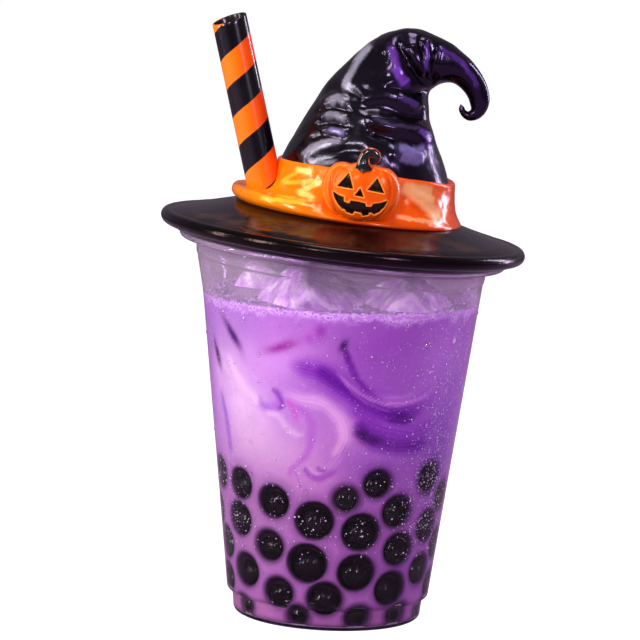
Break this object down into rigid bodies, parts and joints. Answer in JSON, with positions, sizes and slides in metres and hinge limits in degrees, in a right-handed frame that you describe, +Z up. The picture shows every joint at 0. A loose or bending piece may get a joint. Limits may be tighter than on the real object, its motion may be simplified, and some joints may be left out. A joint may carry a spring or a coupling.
{
  "type": "bubble tea",
  "caption": "Bubble tea in a clear plastic cup with tapioca pearls and ice, under a glossy witch-hat lid with an orange band, a jack-o'-lantern badge and a wide striped straw.",
  "frame": {"origin": "centre of the base, under the middle of the whole", "axes": "+Z up, -Y towards the side the badge faces, +X to the right of that side"},
  "size_m": [0.1094, 0.1096, 0.1804],
  "materials": {
    "clear_plastic": "clear moulded plastic, glossy",
    "milk_tea": "opaque lavender to deep purple milk tea, swirled",
    "ice": "cloudy ice with small bubbles",
    "hat_black": "glossy black with a violet sheen",
    "band_orange": "glossy orange, wavy",
    "pumpkin_orange": "satin orange with a black recessed face",
    "stalk_black": "glossy black with worn orange edges",
    "straw_striped": "glossy, orange and black spiral stripes"
  },
  "bodies": {
    "root": {"cup": "clear_plastic", "drink": "milk_tea", "ice_left": "ice", "ice_right": "ice", "ice_back": "ice", "hat": "hat_black", "hatband": "band_orange", "pumpkin": "pumpkin_orange", "pumpkin_stalk": "stalk_black", "straw": "straw_striped"}
  },
  "joints": []
}
